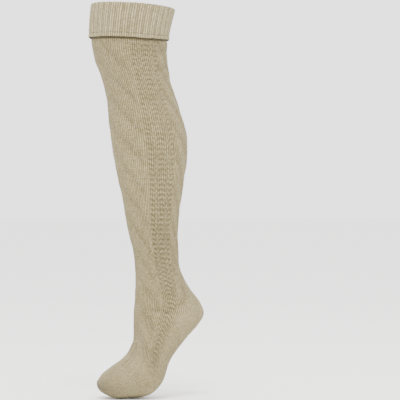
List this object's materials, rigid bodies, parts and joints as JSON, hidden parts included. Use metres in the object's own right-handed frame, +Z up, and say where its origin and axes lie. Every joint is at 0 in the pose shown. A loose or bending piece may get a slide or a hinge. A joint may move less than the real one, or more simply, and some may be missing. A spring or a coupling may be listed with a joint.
{
  "type": "over-the-knee sock",
  "caption": "Hollow knitted over-the-knee sock for a left leg, on tiptoe shape, with a turned-down ribbed cuff, cable panels down the leg, a turned heel and a closed toe.",
  "frame": {"origin": "middle of the leg opening, at the rim of the turned cuff, where the leg goes in", "axes": "+Z up the leg, out of the opening; the toes point to -Y; +X is the outer side of the left leg"},
  "size_m": [0.1298, 0.1931, 0.6525],
  "materials": {
    "rib_knit": "matt beige wool-blend yarn in a two by one rib",
    "cable_knit": "matt beige wool-blend yarn in cables and plain knit",
    "plain_knit": "matt beige wool-blend yarn in plain knit"
  },
  "bodies": {
    "root": {"turned_cuff": "rib_knit", "leg": "cable_knit", "heel": "plain_knit", "foot": "cable_knit", "toe": "plain_knit"}
  },
  "joints": []
}
